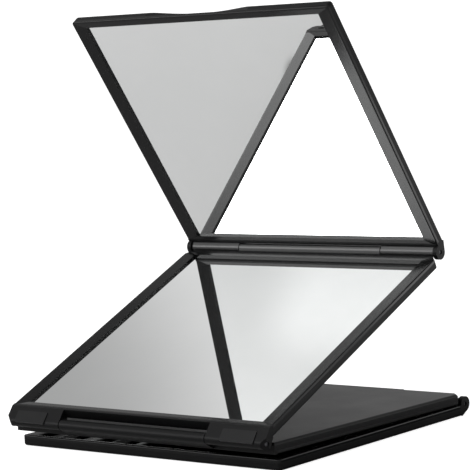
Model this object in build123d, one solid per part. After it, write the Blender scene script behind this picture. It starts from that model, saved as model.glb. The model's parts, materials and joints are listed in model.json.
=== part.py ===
from build123d import *
import os
from math import cos, radians, sin

# Four-panel folding mirror. The panels fold like an accordion on three hinges: base, lower inner,
# upper inner and top panel, from the foot up.
#
# Every panel is drawn in its own frame. The origin is on its rear hinge axis, X runs along the hinge,
# Y points away from the panel and Z points out of the mirror. A reach is a distance from the rear hinge
# axis towards the other end of the panel, so a reach of 100 is at Y = -100.

# Panel sizes, in millimetres
panel_width = 120.0
hinge_span = 120.0
base_setback = 6.0
top_setback = 9.0
corner_radius = 1.2
back_edge_radius = 1.0
frame_edge_radius = 0.4

# Layers of a panel, from the back to the mirror side
floor_thickness = 1.0
tape_thickness = 0.3
glass_thickness = 1.5
frame_thickness = 1.2
wall_thickness = 1.4

# Frame round the glass, with a face that slopes down to the opening
side_bezel = 5.5
rear_bezel = 2.8
lid_front_bezel = 3.1
inner_front_bezel = 3.5
bevel_rim = 0.8
bevel_drop = 0.4
glass_overlap = 0.7
glass_chamfer = 0.15
tape_inset = 1.5
frame_clearance = 0.05
lip_clearance = 0.1
lip_width = 0.6
lip_depth = 0.9

# Finger scallop in the free edge of the top panel
scallop_width = 48.0
scallop_depth = 2.0

# Hinges
mirror_gap = 0.25
back_gap = 0.25
barrel_radius = 2.0
barrel_gap = 0.3
wall_strip = 0.05
ear_radius = 2.8
ear_width = 1.8
ear_corner_cut = 2.6
arm_corner_cut = 2.0
outer_knuckle_length = 26.0
knuckle_gap = 0.4
apron_slot = 1.6
pin_radius = 0.8
pin_end_recess = 0.4
pin_beyond_sleeve = 2.7
pin_fit = 0.02
pin_running_clearance = 0.04
sleeve_length = 9.0
sleeve_wall = 0.45
sleeve_slot = 0.4
bore_end_clearance = 0.5

# Raised caps on the arms of the upper inner panel
cap_length = 14.5
cap_width = 4.6
cap_thickness = 0.85
cap_height = 0.3
cap_corner_radius = 0.5
cap_from_end = 4.5
cap_overhang = 1.35
cap_clearance = 0.05

# Magnets in the side rails of the outer panels and keepers in those of the inner ones
magnet_length = 12.0
magnet_width = 1.8
magnet_thickness = 1.6
magnet_setback = 17.0
rib_thickness = 0.8
rib_height = 0.8
rib_clearance = 0.1

# Openings of the hinges as photographed, in degrees: zero is folded shut
foot_opening = 0.8
front_opening = 24.45
top_opening = 79.2

# Heights in the panel's own frame
half_width = panel_width / 2
panel_thickness = floor_thickness + tape_thickness + glass_thickness + frame_thickness
mirror_face = -mirror_gap
back_face = mirror_face - panel_thickness
frame_under = mirror_face - frame_thickness
floor_top = back_face + floor_thickness
glass_under = floor_top + tape_thickness
front_axis_height = back_face - back_gap

# Reaches and half widths shared by the pieces of a panel
rear_reach = barrel_radius + barrel_gap
inner_reach = hinge_span - barrel_radius - apron_slot
base_reach = hinge_span - base_setback
top_reach = hinge_span - top_setback
magnet_reach = top_reach - magnet_setback
wall_inside = half_width - wall_thickness
opening_half_width = half_width - side_bezel
opening_rear = rear_reach + rear_bezel
glass_half_width = opening_half_width + glass_overlap
sleeve_radius = pin_radius + pin_running_clearance + sleeve_wall
knuckle_half_length = half_width - outer_knuckle_length
sleeve_outer_end = knuckle_half_length - knuckle_gap / 2
pin_outer_end = half_width - pin_end_recess
pin_inner_end = sleeve_outer_end - sleeve_length - pin_beyond_sleeve

SIDES = (("left", -1), ("right", 1))


def slab(x_from, x_to, reach_from, reach_to, z_from, z_to):
    """Block between two X values, two reaches and two heights."""
    size = (x_to - x_from, reach_to - reach_from, z_to - z_from)
    centre = ((x_from + x_to) / 2, -(reach_from + reach_to) / 2, (z_from + z_to) / 2)
    return Pos(*centre) * Box(*size)


def plate(reach_from, reach_to, z_from, z_to, rear_cut=0.0, rounded_front=False, half=half_width):
    """Plate between two reaches: its rear corners may be cut off at 45 degrees, its front ones rounded."""
    points = [
        (-half, -reach_to),
        (half, -reach_to),
        (half, -reach_from - rear_cut),
        (half - rear_cut, -reach_from),
        (-half + rear_cut, -reach_from),
        (-half, -reach_from - rear_cut),
    ]
    if rear_cut == 0.0:
        points = [points[0], points[1], points[2], points[4]]
    outline = Plane.XY.offset(z_from) * make_face(Polyline(*points, close=True))
    body = extrude(outline, amount=z_to - z_from)
    if rounded_front:
        front_corners = body.edges().filter_by(Axis.Z).sort_by(Axis.Y)[:2]
        body = fillet(front_corners, corner_radius)
    return body


def rod(x_from, x_to, radius, reach=0.0, height=0.0):
    """Round bar along the hinge."""
    disc = Plane.YZ.offset(x_from) * Pos(-reach, height) * Circle(radius)
    return extrude(disc, amount=x_to - x_from)


def knuckle(x_from, x_to, radius, reach, height, wall_reach):
    """Hinge barrel at a reach and height, drawn out to meet the panel's end wall over its full height."""
    barrel = Pos(-reach, height) * Circle(radius)
    wall = Pos(-wall_reach, (mirror_face + back_face) / 2) * Rectangle(wall_strip, panel_thickness)
    profile = make_hull(barrel.edges() + wall.edges())
    return extrude(Plane.YZ.offset(x_from) * profile, amount=x_to - x_from)


def outer_knuckles(reach, height, wall_reach):
    """The two knuckles at the panel's sides, bored for the pins."""
    start = knuckle_half_length + knuckle_gap / 2
    made = Part()
    for _, side in SIDES:
        x_from, x_to = sorted((side * start, side * half_width))
        made += knuckle(x_from, x_to, barrel_radius, reach, height, wall_reach)
    return made


def outer_bores(reach, height):
    """Through bores of the outer knuckles."""
    return rod(-half_width - 1, half_width + 1, pin_radius + pin_fit, reach, height)


def central_knuckle(reach, height, wall_reach):
    """The long middle knuckle, bored from both ends for the pins and their sleeves."""
    made = knuckle(-sleeve_outer_end, sleeve_outer_end, barrel_radius, reach, height, wall_reach)
    for _, side in SIDES:
        sleeve_end = side * (sleeve_outer_end - sleeve_length)
        pin_end = side * (pin_inner_end - bore_end_clearance)
        made -= rod(*sorted((sleeve_end, side * sleeve_outer_end)), sleeve_radius + pin_fit, reach, height)
        made -= rod(*sorted((pin_end, sleeve_end)), pin_radius + pin_running_clearance, reach, height)
    return made


def cover(front_reach, front_bezel, is_lid):
    """Moulded back cover: tray with side walls and magnet ribs. A hinge end has a full-height wall."""
    cut = 0.0 if is_lid else ear_corner_cut
    inner_cut = 0.0 if is_lid else ear_corner_cut - wall_thickness * (2 - 2**0.5)
    body = plate(rear_reach, front_reach, back_face, frame_under, cut, rounded_front=is_lid)
    back_edges = body.faces().sort_by(Axis.Z)[0].edges()
    body = fillet(back_edges, back_edge_radius)
    body += end_wall(rear_reach, rear_reach + wall_thickness, cut)
    if not is_lid:
        body += end_wall(front_reach - wall_thickness, front_reach)
    body -= plate(rear_reach + wall_thickness, front_reach - wall_thickness, floor_top, mirror_face,
                  inner_cut, half=wall_inside)
    return body - bevel(front_reach, front_bezel) + magnet_ribs()


def end_wall(reach_from, reach_to, cut=0.0):
    """Upper part of a hinge end's wall, level with the mirror side and cut like the cover's corners."""
    wall = slab(-half_width, half_width, reach_from, reach_to, frame_under, mirror_face)
    return wall & plate(reach_from, hinge_span, frame_under, mirror_face, cut)


def magnet_ribs():
    """Two low ribs in each side rail that keep a magnet or keeper in place."""
    made = Part()
    start = magnet_length / 2 + rib_clearance
    for _, side in SIDES:
        x_from, x_to = sorted((side * (glass_half_width + rib_clearance), side * wall_inside))
        for direction in (-1, 1):
            ends = sorted((magnet_reach + direction * start, magnet_reach + direction * (start + rib_thickness)))
            made += slab(x_from, x_to, *ends, floor_top, floor_top + rib_height)
    return made


def scallop(front_reach):
    """Cylinder that scoops the free edge for a fingertip, below the front frame."""
    half = scallop_width / 2
    radius = (half**2 + scallop_depth**2) / (2 * scallop_depth)
    centre = front_reach - scallop_depth + radius
    height = panel_thickness - frame_thickness
    return Pos(0, -centre, back_face + height / 2) * Cylinder(radius, height)


def front_frame(front_reach, front_bezel, is_lid):
    """Bezel that holds the glass down: a flat ring with a lip that plugs into the cover."""
    rear = rear_reach + wall_thickness + frame_clearance
    front = front_reach if is_lid else front_reach - wall_thickness - frame_clearance
    cut = 0.0 if is_lid else ear_corner_cut - wall_thickness - frame_clearance
    ring = plate(rear, front, frame_under, mirror_face, cut, rounded_front=is_lid)
    rim = [edge for edge in ring.faces().sort_by(Axis.Z)[-1].edges() if is_rim(edge, rear, front, is_lid)]
    ring = fillet(rim, frame_edge_radius)
    opening_front = front_reach - front_bezel
    ring -= slab(-opening_half_width, opening_half_width, opening_rear, opening_front,
                 frame_under, mirror_face)
    ring -= bevel(front_reach, front_bezel)
    return ring + frame_lip(rear, front_reach - wall_thickness - frame_clearance, is_lid)


def bevel(front_reach, front_bezel):
    """Cutter that slopes a panel's face, end walls too, from its rim down to the opening."""
    rear, front = rear_reach + bevel_rim, front_reach - bevel_rim
    opening_front = front_reach - front_bezel
    outer = Pos(0, -(rear + front) / 2, mirror_face) * Rectangle(2 * (half_width - bevel_rim), front - rear)
    inner = Pos(0, -(opening_rear + opening_front) / 2, mirror_face - bevel_drop) * Rectangle(
        2 * opening_half_width, opening_front - opening_rear)
    return loft([outer, inner], ruled=True)


def is_rim(edge, rear, front, is_lid):
    """True for an outer edge of the frame that shows: the two sides, and a lid's free edge."""
    middle = edge.center()
    at_rear = abs(middle.Y + rear) < frame_clearance
    at_front = abs(middle.Y + front) < frame_clearance
    return not at_rear and (is_lid or not at_front)


def frame_lip(rear, front, is_lid):
    """Lip under the frame that stands just inside the cover's walls."""
    out_x = wall_inside - lip_clearance
    near = rear + (lip_clearance if is_lid else ear_corner_cut + wall_thickness)
    far = front - lip_clearance
    top, low = frame_under, frame_under - lip_depth
    lip = slab(-out_x, out_x, near, far, low, top)
    inside = slab(lip_width - out_x, out_x - lip_width, near - 1, far - lip_width, low - 1, top)
    return lip - inside


def glass(front_reach, front_bezel):
    """Mirror glass with eased edges, held down by the frame."""
    body = slab(-glass_half_width, glass_half_width, opening_rear - glass_overlap,
                front_reach - front_bezel + glass_overlap, glass_under, frame_under)
    return chamfer(body.edges(), glass_chamfer)


def tape(front_reach, front_bezel):
    """Adhesive sheet between the glass and the cover's floor."""
    half = glass_half_width - tape_inset
    return slab(-half, half, opening_rear - glass_overlap + tape_inset,
                front_reach - front_bezel + glass_overlap - tape_inset, floor_top, glass_under)


def magnet_bar(side):
    """Magnet or steel keeper on the floor of a side rail, beside the glass."""
    middle = (glass_half_width + wall_inside - lip_clearance - lip_width) / 2
    x_from, x_to = side * middle - magnet_width / 2, side * middle + magnet_width / 2
    body = slab(x_from, x_to, magnet_reach - magnet_length / 2, magnet_reach + magnet_length / 2,
                floor_top, floor_top + magnet_thickness)
    return chamfer(body.edges(), glass_chamfer)


def pin(side, reach, height):
    """Short steel hinge pin, put in from the panel's side."""
    body = rod(*sorted((side * pin_inner_end, side * pin_outer_end)), pin_radius, reach, height)
    return chamfer(body.edges().filter_by(GeomType.CIRCLE), glass_chamfer)


def sleeve(side, reach, height):
    """Split spring sleeve that grips the pin inside the central knuckle."""
    ends = sorted((side * (sleeve_outer_end - sleeve_length), side * sleeve_outer_end))
    body = rod(*ends, sleeve_radius, reach, height)
    body -= rod(*ends, pin_radius + pin_running_clearance, reach, height)
    slot = slab(*ends, reach - sleeve_slot / 2, reach + sleeve_slot / 2, height, height + barrel_radius)
    return body - slot


def lid_cover(front_reach):
    """Back cover of an outer panel, with outer knuckles and ears at the rear."""
    body = cover(front_reach, lid_front_bezel, is_lid=True) + outer_knuckles(0, 0, rear_reach)
    for _, side in SIDES:
        ends = sorted((side * (half_width - ear_width), side * half_width))
        body += knuckle(*ends, ear_radius, 0, 0, rear_reach)
    return body - outer_bores(0, 0)


def inner_cover():
    """Back cover of an inner panel, with the central knuckle of its rear hinge."""
    return cover(inner_reach, inner_front_bezel, is_lid=False) + central_knuckle(0, 0, rear_reach)


def lower_cover():
    """The lower inner panel carries the central knuckle of the front hinge."""
    return inner_cover() + central_knuckle(hinge_span, front_axis_height, inner_reach)


def upper_cover():
    """The upper inner panel has the front hinge's outer knuckles: two sloping arms with cap pockets."""
    body = inner_cover() + outer_knuckles(hinge_span, front_axis_height, inner_reach)
    body -= outer_bores(hinge_span, front_axis_height)
    for _, side in SIDES:
        body -= arm_corner(side)
        body -= cap_block(side, cap_clearance)
    return body


def arm_corner(side):
    """Wedge that cuts the front corner of an arm."""
    front = hinge_span + barrel_radius
    corner = [
        (side * half_width, -front),
        (side * (half_width - arm_corner_cut), -front),
        (side * half_width, -front + arm_corner_cut),
    ]
    outline = Plane.XY.offset(front_axis_height - barrel_radius) * make_face(Polyline(*corner, close=True))
    return extrude(outline, amount=panel_thickness + barrel_radius)


def arm_slope():
    """Slope in degrees of an arm's top face, which is the tangent from the end wall to the barrel."""
    run = hinge_span - inner_reach
    rise = mirror_face - front_axis_height
    to_wall = Vector(-run, rise)
    wall_angle = Vector(1, 0).get_angle(to_wall)
    opening = Vector(1, 0).get_angle(Vector(barrel_radius, (to_wall.length**2 - barrel_radius**2) ** 0.5))
    return 90 - (wall_angle - opening)


def cap_block(side, clearance=0.0):
    """Block of a cap, laid on the arm's slope: its top stands proud and its front overhangs the barrel."""
    slope = arm_slope()
    thickness = cap_thickness + clearance
    top = barrel_radius + cap_height
    body = Pos(0, cap_width / 2 - cap_overhang, top - thickness / 2) * Box(
        cap_length + 2 * clearance, cap_width + 2 * clearance, thickness)
    across = side * (half_width - cap_from_end - cap_length / 2)
    return Pos(across, -hinge_span, front_axis_height) * Rot(X=slope) * body


def cap(side):
    """Raised cap over the front hinge, with rounded upper corners."""
    body = cap_block(side)
    along_slope = Plane(origin=(0, 0, 0), z_dir=(0, -sin(radians(arm_slope())), cos(radians(arm_slope()))))
    upright = body.edges().filter_by(Axis(origin=(0, 0, 0), direction=along_slope.z_dir))
    return fillet(upright, cap_corner_radius)


def places():
    """Where each panel's own frame sits, worked out up the chain from the base."""
    foot_angle = foot_opening
    upper_angle = front_opening - foot_opening
    top_angle = top_opening - upper_angle
    foot_axis = Pos(0, 0, -back_face)
    lower = foot_axis * Rot(X=-foot_angle) * Rot(Y=180)
    front_axis = (lower * Pos(0, -hinge_span, front_axis_height)).position
    from_top_axis = (Rot(X=upper_angle) * Pos(0, -hinge_span, front_axis_height)).position
    top_axis = front_axis - from_top_axis
    upper = Pos(*top_axis) * Rot(X=upper_angle)
    top = Pos(*top_axis) * Rot(X=-top_angle) * Rot(Y=180)
    front = front_axis.Y - barrel_radius
    rear = foot_axis.position.Y + ear_radius
    to_origin = Pos(0, -(front + rear) / 2, 0)
    panels = {"base": foot_axis, "lower": lower, "upper": upper, "top": top}
    return {name: to_origin * place for name, place in panels.items()}


def panel_pieces(name, front_reach, front_bezel, is_lid, cover_solid):
    """The four layers of one panel."""
    return {
        f"{name}_back_cover": cover_solid,
        f"{name}_front_frame": front_frame(front_reach, front_bezel, is_lid),
        f"{name}_mirror": glass(front_reach, front_bezel),
        f"{name}_mirror_tape": tape(front_reach, front_bezel),
    }


def hinge_pieces(name, turned, reach, height):
    """Pins and sleeves of one hinge, named by the side on which they lie when the mirror stands."""
    made = {}
    for word, side in SIDES:
        made[f"{name}_pin_{word}"] = pin(side * turned, reach, height)
        made[f"{name}_sleeve_{word}"] = sleeve(side * turned, reach, height)
    return made


def build():
    """All pieces in the standing mirror's frame."""
    top_cover = lid_cover(top_reach) - scallop(top_reach)
    groups = {
        "base": panel_pieces("base", base_reach, lid_front_bezel, True, lid_cover(base_reach)),
        "lower": panel_pieces("lower", inner_reach, inner_front_bezel, False, lower_cover()),
        "upper": panel_pieces("upper", inner_reach, inner_front_bezel, False, upper_cover()),
        "top": panel_pieces("top", top_reach, lid_front_bezel, True, top_cover),
    }
    groups["base"] |= hinge_pieces("foot_hinge", 1, 0, 0)
    groups["upper"] |= hinge_pieces("front_hinge", 1, hinge_span, front_axis_height)
    groups["upper"] |= hinge_pieces("top_hinge", 1, 0, 0)
    for word, side in SIDES:
        groups["base"][f"base_magnet_{word}"] = magnet_bar(side)
        groups["lower"][f"lower_keeper_{word}"] = magnet_bar(-side)
        groups["upper"][f"upper_keeper_{word}"] = magnet_bar(side)
        groups["top"][f"top_magnet_{word}"] = magnet_bar(-side)
        groups["upper"][f"front_hinge_cap_{word}"] = cap(side)
    located = places()
    return {node: located[name] * solid for name, group in groups.items() for node, solid in group.items()}


os.makedirs("parts", exist_ok=True)
for node, solid in build().items():
    export_step(solid, f"parts/{node}.step")
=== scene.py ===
import bpy
import json
import numpy as np
from mathutils import Matrix, Vector

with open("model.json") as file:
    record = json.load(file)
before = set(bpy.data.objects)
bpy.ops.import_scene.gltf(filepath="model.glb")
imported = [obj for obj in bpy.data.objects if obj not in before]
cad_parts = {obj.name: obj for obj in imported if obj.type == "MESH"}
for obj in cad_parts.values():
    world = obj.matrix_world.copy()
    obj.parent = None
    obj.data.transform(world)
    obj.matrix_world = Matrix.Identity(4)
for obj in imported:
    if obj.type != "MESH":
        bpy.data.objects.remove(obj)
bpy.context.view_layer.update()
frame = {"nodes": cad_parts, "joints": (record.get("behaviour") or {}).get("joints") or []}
nodes = frame["nodes"]
scene = bpy.context.scene


# The photographer's camera. It stands to the right of the mirror, level with the free edge of the top
# panel, and looks slightly down at it through a long lens from 0.81 m away.
camera_azimuth = np.radians(39.15)
camera_elevation = np.radians(5.15)
camera_roll = np.radians(-3.16)
camera_place = Vector((0.5135, -0.62855, 0.1463))
lens_mm = 169.5
film_width_mm = 36.0
nearest_seen, farthest_seen = 0.05, 30.0


def camera_axes(azimuth, elevation, roll):
    """Right, up and back of a camera at that azimuth and elevation, turned about its line of sight."""
    back = Vector((
        np.sin(azimuth) * np.cos(elevation), -np.cos(azimuth) * np.cos(elevation), np.sin(elevation),
    ))
    level_right = Vector((np.cos(azimuth), np.sin(azimuth), 0))
    level_up = back.cross(level_right)
    right = level_right * np.cos(roll) + level_up * np.sin(roll)
    return right, back.cross(right), back


camera_data = bpy.data.cameras.new("camera")
camera_data.lens = lens_mm
camera_data.sensor_width = film_width_mm
camera_data.clip_start = nearest_seen
camera_data.clip_end = farthest_seen
camera = bpy.data.objects.new("camera", camera_data)
scene.collection.objects.link(camera)
turned = Matrix(camera_axes(camera_azimuth, camera_elevation, camera_roll)).transposed().to_4x4()
camera.matrix_world = Matrix.Translation(camera_place) @ turned
scene.camera = camera
scene.view_settings.view_transform = "Standard"


# The studio's backdrop: overexposed white to the camera. Gloss and glass see a grey room with a white wall
# at the front left, a soft grey flag high on the left that fills half of the upward mirror, and two black
# flags, one low behind for the gap over the foot and one overhead for the left rails.
backdrop_white = 1.25
room_tone = 0.75
room_light = 0.42
white_wall = Vector((-0.60, -0.72, 0.33)).normalized()
white_wall_reach = (14.0, 30.0)
grey_flag = Vector((-0.74, 0.30, 0.60)).normalized()
grey_flag_tone = 0.39
grey_flag_reach = (3.0, 11.0)
low_flag = Vector((-0.69, 0.70, 0.20)).normalized()
low_flag_reach = (4.0, 8.0)
overhead_flag = Vector((-0.56, 0.305, 0.77)).normalized()
overhead_flag_reach = (3.5, 7.0)
black_flag_strength = 0.97
white = (1, 1, 1, 1)


def shader_node(tree, kind, inputs=(), **settings):
    """A shader node with its settings made and its inputs linked to sockets or set to values."""
    made = tree.nodes.new(kind)
    for name, value in settings.items():
        setattr(made, name, value)
    for name, value in dict(inputs).items():
        if isinstance(value, bpy.types.NodeSocket):
            tree.links.new(value, made.inputs[name])
        else:
            made.inputs[name].default_value = value
    return made


def blank_tree(owner):
    """The owner's shader tree, emptied."""
    owner.use_nodes = True
    owner.node_tree.nodes.clear()
    return owner.node_tree


def arithmetic(tree, operation, first, second=0.0, third=0.0):
    """Result socket of one sum on two or three sockets or values."""
    inputs = {0: first, 1: second, 2: third}
    return shader_node(tree, "ShaderNodeMath", inputs, operation=operation).outputs[0]


def measured(tree, operation, *vectors):
    """Number that one operation gives for its vectors, such as a dot product or a length."""
    inputs = dict(enumerate(vectors))
    return shader_node(tree, "ShaderNodeVectorMath", inputs, operation=operation).outputs["Value"]


def stepped(tree, value, low, high, low_result, high_result):
    """Smooth change from one result to another while the value goes from low to high."""
    return shader_node(tree, "ShaderNodeMapRange", {
        "Value": value, "From Min": low, "From Max": high, "To Min": low_result, "To Max": high_result,
    }, interpolation_type="SMOOTHERSTEP").outputs["Result"]


def flag_share(tree, ray, centre, core, rim):
    """1 for rays within the core of a flag, fading to 0 at its rim, both in degrees from its centre."""
    core_cosine, rim_cosine = np.cos(np.radians((core, rim)))
    return stepped(tree, measured(tree, "DOT_PRODUCT", ray, centre), rim_cosine, core_cosine, 0.0, 1.0)


studio = bpy.data.worlds.new("studio")
scene.world = studio
tree = blank_tree(studio)
ray = shader_node(tree, "ShaderNodeTexCoord").outputs["Object"]
path = shader_node(tree, "ShaderNodeLightPath").outputs
wall_share = flag_share(tree, ray, white_wall, *white_wall_reach)
grey_share = flag_share(tree, ray, grey_flag, *grey_flag_reach)
low_share = flag_share(tree, ray, low_flag, *low_flag_reach)
overhead_share = flag_share(tree, ray, overhead_flag, *overhead_flag_reach)
black_share = arithmetic(tree, "MAXIMUM", low_share, overhead_share)
room = arithmetic(tree, "MULTIPLY_ADD", wall_share, backdrop_white - room_tone, room_tone)
greyed = arithmetic(tree, "MULTIPLY_ADD", grey_share, grey_flag_tone - room_tone, room)
unflagged = arithmetic(tree, "MULTIPLY_ADD", black_share, -black_flag_strength, 1.0)
plain = arithmetic(tree, "MULTIPLY", backdrop_white, path["Is Camera Ray"])
backdrop_tone = arithmetic(tree, "MAXIMUM", plain, arithmetic(tree, "MULTIPLY", greyed, unflagged))
backdrop = shader_node(tree, "ShaderNodeBackground", {"Color": white, "Strength": backdrop_tone})
ambient = shader_node(tree, "ShaderNodeBackground", {"Color": white, "Strength": room_light})
looks = arithmetic(tree, "MAXIMUM", path["Is Camera Ray"], path["Is Glossy Ray"])
looks = arithmetic(tree, "MAXIMUM", looks, path["Is Transmission Ray"])
shown = shader_node(tree, "ShaderNodeMixShader", {
    "Fac": looks, 1: ambient.outputs[0], 2: backdrop.outputs[0],
})
shader_node(tree, "ShaderNodeOutputWorld", {"Surface": shown.outputs[0]})


# The table top: pale matt card, which takes the mirror's shadow and washes out to white in the picture. Gloss
# and glass see it dimmer, as a painted glow that is fainter close to the mirror as painted shade, with a
# painted pool of light in front for the right rail of the lower mirror, and painted shade round the foot,
# where two mirrors face each other.
table_half = 6.0
table_drop = 0.0002
table_tone = 0.60
table_glow = 0.85
# Painted shade: the glow that gloss and glass see is fainter near the mirror, standing in for its shadow on
# the table.
shaded_near_glow, far_glow = 0.10, 0.20
glow_reach = (0.14, 0.42)
pool_glow = 0.24
pool_near_gain = 3.6
pool_direction = (0.77, -0.64, 0)
pool_edge = (-0.055, -0.005)
pool_start = (0.125, 0.165)
pool_near_reach = (0.19, 0.28)
pool_end = (0.42, 0.75)
foot_shade = 0.9
foot_shade_reach = (0.076, 0.084)
foot_shade_start = (-0.056, -0.046)

table_mesh = bpy.data.meshes.new("table_top")
corners = np.array([(-1, -1), (1, -1), (1, 1), (-1, 1)]) * table_half
table_mesh.from_pydata([(x, y, -table_drop) for x, y in corners], [], [(0, 1, 2, 3)])
table_top = bpy.data.objects.new("table_top", table_mesh)
scene.collection.objects.link(table_top)
table_card = bpy.data.materials.new("table_card")
tree = blank_tree(table_card)
place = shader_node(tree, "ShaderNodeTexCoord").outputs["Object"]
path = shader_node(tree, "ShaderNodeLightPath").outputs
distance = measured(tree, "LENGTH", place)
pool = stepped(tree, measured(tree, "DOT_PRODUCT", place, pool_direction), *pool_edge, 0.0, pool_glow)
pool_fades = ((pool_start, 0.0, 1.0), (pool_near_reach, pool_near_gain, 1.0), (pool_end, 1.0, 0.0))
for reach, before, after in pool_fades:
    pool = arithmetic(tree, "MULTIPLY", pool, stepped(tree, distance, *reach, before, after))
floor_glow = arithmetic(tree, "ADD", stepped(tree, distance, *glow_reach, shaded_near_glow, far_glow), pool)
sent_on = arithmetic(tree, "MAXIMUM", path["Is Glossy Ray"], path["Is Transmission Ray"])
parts = shader_node(tree, "ShaderNodeSeparateXYZ", {0: place}).outputs
beside = arithmetic(tree, "MAXIMUM", *(arithmetic(tree, "ABSOLUTE", parts[axis]) for axis in "XY"))
behind = stepped(tree, parts["Y"], *foot_shade_start, 0.0, 1.0)
shade = arithmetic(tree, "MULTIPLY", behind, stepped(tree, beside, *foot_shade_reach, foot_shade, 0.0))
unshaded = arithmetic(tree, "MULTIPLY_ADD", arithmetic(tree, "MULTIPLY", shade, sent_on), -1.0, 1.0)
mirror_glow = arithmetic(tree, "MULTIPLY", arithmetic(tree, "MULTIPLY", floor_glow, sent_on), unshaded)
picture_glow = arithmetic(tree, "MULTIPLY", table_glow, path["Is Camera Ray"])
all_glow = arithmetic(tree, "ADD", picture_glow, mirror_glow)
card_tone = arithmetic(tree, "MULTIPLY", table_tone, unshaded)
card = shader_node(tree, "ShaderNodeBsdfDiffuse", {"Color": card_tone})
light = shader_node(tree, "ShaderNodeEmission", {"Strength": all_glow})
both = shader_node(tree, "ShaderNodeAddShader", {0: card.outputs[0], 1: light.outputs[0]})
shader_node(tree, "ShaderNodeOutputMaterial", {"Surface": both.outputs[0]})
table_mesh.materials.append(table_card)


# The lights: a large soft box above the front, a tall bright panel far off at the front left for the
# highlights along the barrels and rails, and one close behind on the right for the side walls.
light_target = Vector((0, 0, 0.08))


def soft_box(name, place, size, power):
    """Rectangular light at a place, turned to the mirror."""
    data = bpy.data.lights.new(name, "AREA")
    data.shape = "RECTANGLE"
    data.size, data.size_y = size
    data.energy = power
    made = bpy.data.objects.new(name, data)
    scene.collection.objects.link(made)
    made.location = place
    made.rotation_mode = "QUATERNION"
    made.rotation_quaternion = (light_target - Vector(place)).to_track_quat("-Z", "Y")


soft_box("front_box", place=(-0.18, -1.15, 1.15), size=(1.5, 1.3), power=17.0)
soft_box("front_left_panel", place=(-1.64, -1.89, 0.775), size=(1.01, 0.87), power=13.4)
soft_box("rear_right_panel", place=(0.25, 0.26, 0.06), size=(0.10, 0.11), power=0.09)


# Back covers: one tray per panel with its hinge knuckles, moulded in black ABS in a finely spark-textured
# tool. Hands have rubbed the edges paler, left faint cloudy marks on the flats, and given the barrel at the
# top hinge, by which the mirror is opened, a glossy skin.
barrel_reach = 0.0021
barrel_half_length = 0.0575
skin_roughness = 0.31
clouds_per_metre = 38.0
worn_edge_width = 0.0006
worn_edge_samples = 6
grain_depth = 0.09


def scaled(tree, coordinates, scale, detail=2.0, roughness=0.5):
    """Noise with features of about one scale-th of a metre."""
    return shader_node(tree, "ShaderNodeTexNoise", {
        "Vector": coordinates, "Scale": scale, "Detail": detail, "Roughness": roughness,
    }).outputs["Fac"]


def blended(tree, share, first, second):
    """Colour between two colours."""
    mix = shader_node(tree, "ShaderNodeMix", data_type="RGBA")
    for name, value in (("Factor", share), ("A", first), ("B", second)):
        socket = [s for s in mix.inputs if s.name == name and s.enabled][0]
        if isinstance(value, bpy.types.NodeSocket):
            tree.links.new(value, socket)
        else:
            socket.default_value = value
    return [s for s in mix.outputs if s.enabled][0]


def edge_mask(tree, width):
    """1 along edges that stick out or in, 0 on flats, from how a rounded normal turns there."""
    rounded = shader_node(tree, "ShaderNodeBevel", {"Radius": width}, samples=worn_edge_samples)
    true = shader_node(tree, "ShaderNodeNewGeometry").outputs["Normal"]
    along = measured(tree, "DOT_PRODUCT", rounded.outputs["Normal"], true)
    return stepped(tree, along, 0.99, 0.75, 0.0, 1.0)


def barrel_mask(tree, place, centre, reach, half_length):
    """1 inside a cylinder along X round the centre, fading to 0 just outside its wall and its ends."""
    offset = shader_node(tree, "ShaderNodeVectorMath", {0: place, 1: centre}, operation="SUBTRACT").outputs[0]
    across = shader_node(tree, "ShaderNodeVectorMath", {0: offset, 1: (0, 1, 1)}, operation="MULTIPLY")
    away = measured(tree, "LENGTH", across.outputs[0])
    along = arithmetic(tree, "ABSOLUTE", measured(tree, "DOT_PRODUCT", offset, (1, 0, 0)))
    return arithmetic(tree, "MULTIPLY", stepped(tree, away, reach, reach * 1.1, 1.0, 0.0),
                      stepped(tree, along, half_length, half_length * 1.01, 1.0, 0.0))


def finished(name, tree, surface):
    """Puts a surface on its material's output and gives the material back by its name."""
    shader_node(tree, "ShaderNodeOutputMaterial", {"Surface": surface.outputs[0]})
    return bpy.data.materials[name]


def moulded_black(name, tone, rough, grain_size, specular, handled_barrel=None):
    """Black moulded plastic: cloudy colour and gloss, spark-eroded grain, and rubbed, paler edges.

    A handled barrel is given by its centre, reach and half length, and has a glossy skin.
    """
    tree = blank_tree(bpy.data.materials.new(name))
    place = shader_node(tree, "ShaderNodeTexCoord").outputs["Object"]
    clouds = scaled(tree, place, clouds_per_metre, 4.0, 0.6)
    grain = scaled(tree, place, 1.0 / grain_size, 3.0, 0.7)
    rubbed = arithmetic(tree, "MULTIPLY", edge_mask(tree, worn_edge_width),
                        stepped(tree, clouds, 0.2, 0.8, 0.3, 0.7))
    dark, paler, worn = ((v, v, v * 1.06, 1) for v in (tone, tone * 1.25, tone * 3.0))
    colour = blended(tree, stepped(tree, clouds, 0.3, 0.7, 0.0, 1.0), dark, paler)
    colour = blended(tree, rubbed, colour, worn)
    gloss = arithmetic(tree, "ADD", stepped(tree, clouds, 0.25, 0.75, rough - 0.02, rough + 0.02),
                       stepped(tree, grain, 0.3, 0.7, -0.02, 0.02))
    bump = shader_node(tree, "ShaderNodeBump", {
        "Strength": 0.15, "Distance": grain_size * grain_depth, "Height": grain,
    })
    surface = shader_node(tree, "ShaderNodeBsdfPrincipled", {
        "Base Color": colour, "Roughness": gloss, "Normal": bump.outputs["Normal"],
        "Specular IOR Level": specular, "Coat Roughness": skin_roughness,
    })
    if handled_barrel:
        tree.links.new(barrel_mask(tree, place, *handled_barrel), surface.inputs["Coat Weight"])
    return finished(name, tree, surface)


def dress(names, material):
    """Gives CAD nodes their finish."""
    for name in names:
        slots = nodes[name].data.materials
        slots.clear()
        slots.append(material)


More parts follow.
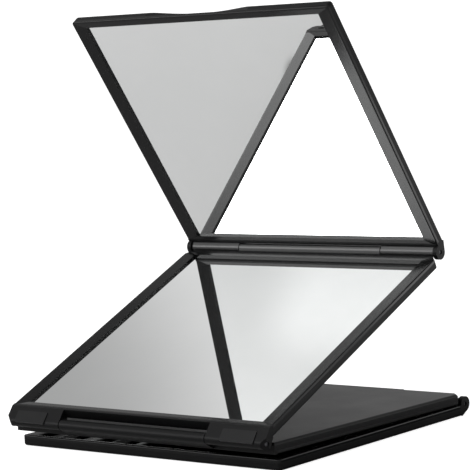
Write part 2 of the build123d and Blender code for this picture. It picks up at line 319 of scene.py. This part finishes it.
panels = ("base", "lower", "upper", "top")
top_axis, = (Vector(joint["pos_m"]) for joint in frame["joints"] if joint["name"] == "top_fold")
dress([f"{panel}_back_cover" for panel in panels],
      moulded_black("cover_black", tone=0.0034, rough=0.40, grain_size=0.00022, specular=0.10,
                    handled_barrel=(top_axis, barrel_reach, barrel_half_length)))


# Front frames: the slim bezel that slopes down to each glass and holds it in its tray. It is moulded in the
# same black ABS in a smoother tool, and its lip is pushed into the back cover.
dress([f"{panel}_front_frame" for panel in panels],
      moulded_black("frame_black", tone=0.0030, rough=0.20, grain_size=0.00018, specular=0.205))


# Caps: two small plates over the ends of the front hinge. They are moulded in the same black ABS with a
# finer, duller grain, and pressed into the arms of the upper inner panel.
dress([f"front_hinge_cap_{side}" for side in ("left", "right")],
      moulded_black("cap_black", tone=0.0044, rough=0.36, grain_size=0.00016, specular=0.16))


# Mirrors: 1.5 mm float glass, silvered at the back, cut square and taped into its tray. It has the faint
# green of the glass and barely seen wiping marks.
clear_tint = (0.905, 0.915, 0.912, 1)
wiped_tint = (0.925, 0.932, 0.930, 1)


def silvered(name):
    """Mirror: nearly full reflection, with soft smears in its gloss."""
    tree = blank_tree(bpy.data.materials.new(name))
    place = shader_node(tree, "ShaderNodeTexCoord").outputs["Object"]
    smears = scaled(tree, place, 22.0, 5.0, 0.65)
    surface = shader_node(tree, "ShaderNodeBsdfPrincipled", {
        "Base Color": blended(tree, stepped(tree, smears, 0.3, 0.7, 0.0, 1.0), clear_tint, wiped_tint),
        "Metallic": 1.0, "Roughness": stepped(tree, smears, 0.45, 0.8, 0.008, 0.03),
    })
    return finished(name, tree, surface)


dress([f"{panel}_mirror" for panel in panels], silvered("silvered_glass"))


# Mounting tape: a thin sheet of black acrylic foam with adhesive on both faces, which holds each glass to
# the floor of its tray. It is hidden in the closed panel.
def foam(name, tone, cell_size):
    """Matt foam tape with fine cells."""
    tree = blank_tree(bpy.data.materials.new(name))
    place = shader_node(tree, "ShaderNodeTexCoord").outputs["Object"]
    cells = scaled(tree, place, 1.0 / cell_size, 2.0)
    colour = blended(tree, cells, (tone, tone, tone, 1), (tone * 2, tone * 2, tone * 2, 1))
    bump = shader_node(tree, "ShaderNodeBump", {"Strength": 0.5, "Distance": 0.00005, "Height": cells})
    surface = shader_node(tree, "ShaderNodeBsdfPrincipled", {
        "Base Color": colour, "Roughness": 0.85, "Normal": bump.outputs["Normal"],
    })
    return finished(name, tree, surface)


dress([f"{panel}_mirror_tape" for panel in panels], foam("foam_tape", tone=0.02, cell_size=0.0003))


# Hinge pins and split sleeves: two short pins per hinge, of blackened steel wire pressed into the outer
# knuckles, each turning stiffly in a sleeve of rolled spring steel in the central knuckle.
def turned_metal(name, colour, rough, line_size):
    """Bright metal with fine drawing lines round its length."""
    tree = blank_tree(bpy.data.materials.new(name))
    place = shader_node(tree, "ShaderNodeTexCoord").outputs["Object"]
    squeezed = shader_node(tree, "ShaderNodeMapping", {"Vector": place, "Scale": (0.08, 1, 1)})
    lines = scaled(tree, squeezed.outputs["Vector"], 1.0 / line_size, 3.0)
    darker = tuple(v * 0.8 for v in colour[:3]) + (1,)
    surface = shader_node(tree, "ShaderNodeBsdfPrincipled", {
        "Base Color": blended(tree, lines, darker, colour), "Metallic": 1.0,
        "Roughness": stepped(tree, lines, 0.3, 0.7, rough - 0.05, rough + 0.06),
    })
    return finished(name, tree, surface)


hinges = ("foot_hinge", "front_hinge", "top_hinge")
sides = ("left", "right")
dress([f"{hinge}_pin_{side}" for hinge in hinges for side in sides],
      turned_metal("blackened_steel", (0.07, 0.07, 0.075, 1), rough=0.34, line_size=0.0004))
dress([f"{hinge}_sleeve_{side}" for hinge in hinges for side in sides],
      turned_metal("spring_steel", (0.42, 0.41, 0.40, 1), rough=0.38, line_size=0.0003))


# Magnets and keepers: a nickel-plated bar in each side rail of the outer panels and a zinc-plated steel
# strip opposite it in the inner ones. They lie in ribbed pockets under the frames and hold the stack shut.
dress([f"{panel}_magnet_{side}" for panel in ("base", "top") for side in sides],
      turned_metal("nickel_plate", (0.66, 0.63, 0.58, 1), rough=0.18, line_size=0.0006))
dress([f"{panel}_keeper_{side}" for panel in ("lower", "upper") for side in sides],
      turned_metal("zinc_plate", (0.58, 0.60, 0.63, 1), rough=0.34, line_size=0.0008))
